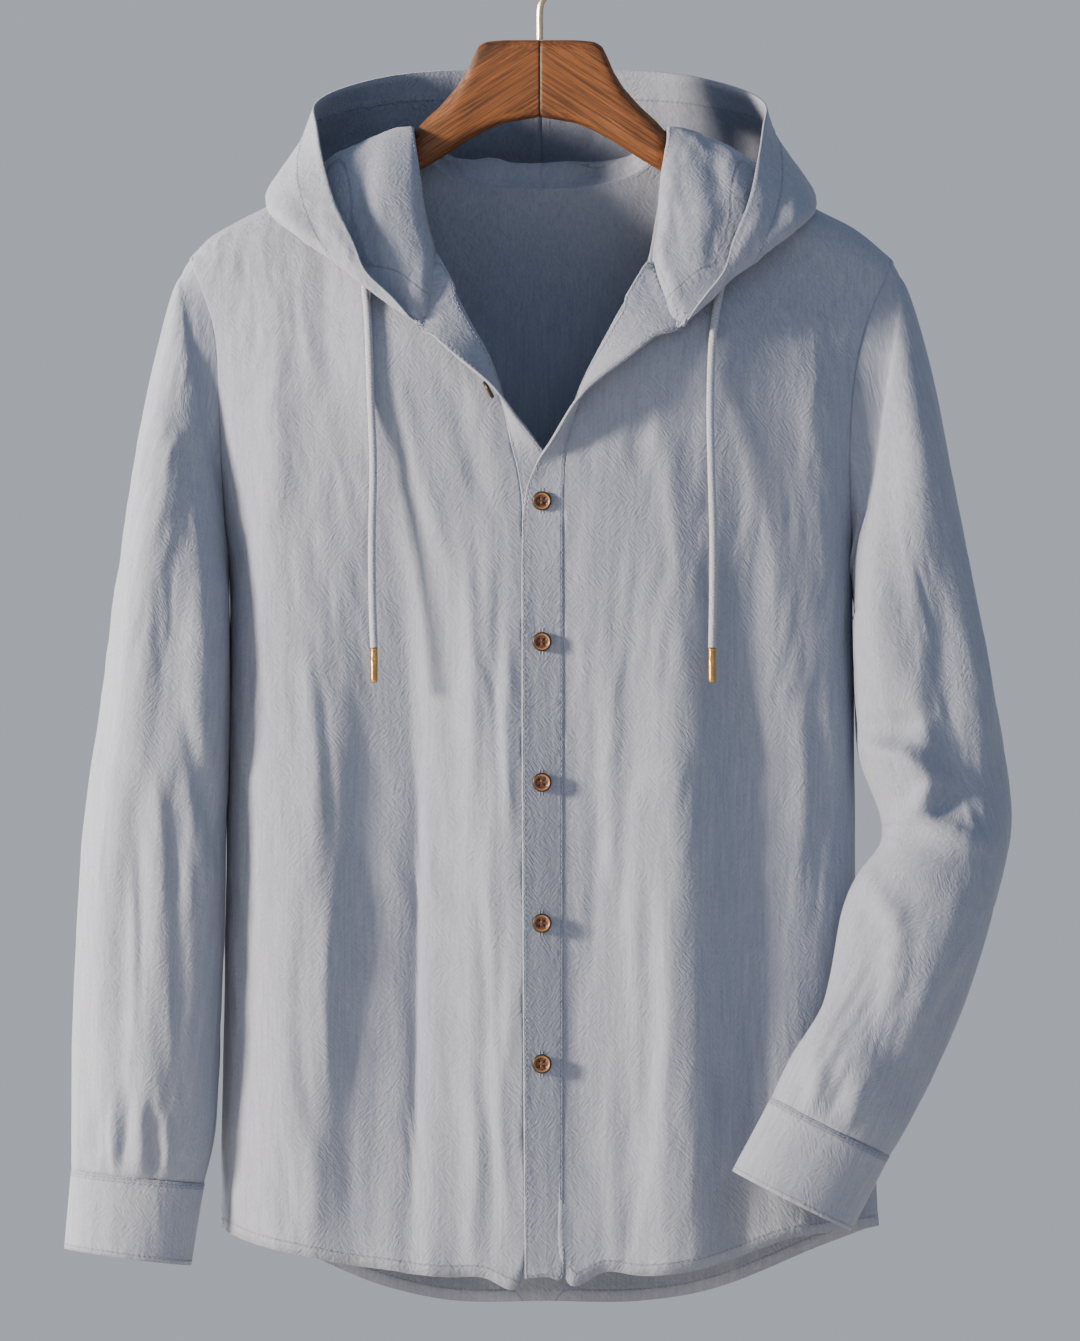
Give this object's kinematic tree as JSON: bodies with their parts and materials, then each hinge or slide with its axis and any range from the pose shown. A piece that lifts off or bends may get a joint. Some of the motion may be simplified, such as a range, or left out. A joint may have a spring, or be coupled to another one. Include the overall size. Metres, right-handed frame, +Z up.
{
  "type": "hooded shirt on a wooden hanger",
  "caption": "Long-sleeved hooded button shirt with drawstrings, hanging open-necked on a contoured wooden hanger with a wire hook.",
  "frame": {"origin": "the inside top of the hook's crown, where a rail carries the hanger", "axes": "+X to the right as seen from the front, +Y to the back, +Z up"},
  "size_m": [0.6234, 0.2369, 0.9151],
  "materials": {
    "shirt_cloth": "crinkled cotton and linen, soft matte",
    "button_horn": "satin dark brown with a paler rim",
    "cord_cotton": "fine braid, matte",
    "aglet_brass": "antique, satin",
    "hanger_wood": "oiled, satin, strong dark grain",
    "hook_steel": "polished wire"
  },
  "bodies": {
    "root": {"back": "shirt_cloth", "front_left": "shirt_cloth", "front_right": "shirt_cloth", "placket_left": "shirt_cloth", "placket_right": "shirt_cloth", "sleeve_left": "shirt_cloth", "sleeve_right": "shirt_cloth", "cuff_left": "shirt_cloth", "cuff_right": "shirt_cloth", "hood_left": "shirt_cloth", "hood_right": "shirt_cloth", "button_1": "button_horn", "button_2": "button_horn", "button_3": "button_horn", "button_4": "button_horn", "button_5": "button_horn", "button_top": "button_horn", "drawstring_left": "cord_cotton", "drawstring_right": "cord_cotton", "aglet_left": "aglet_brass", "aglet_right": "aglet_brass", "hanger_left": "hanger_wood", "hanger_right": "hanger_wood", "hook": "hook_steel"}
  },
  "joints": []
}
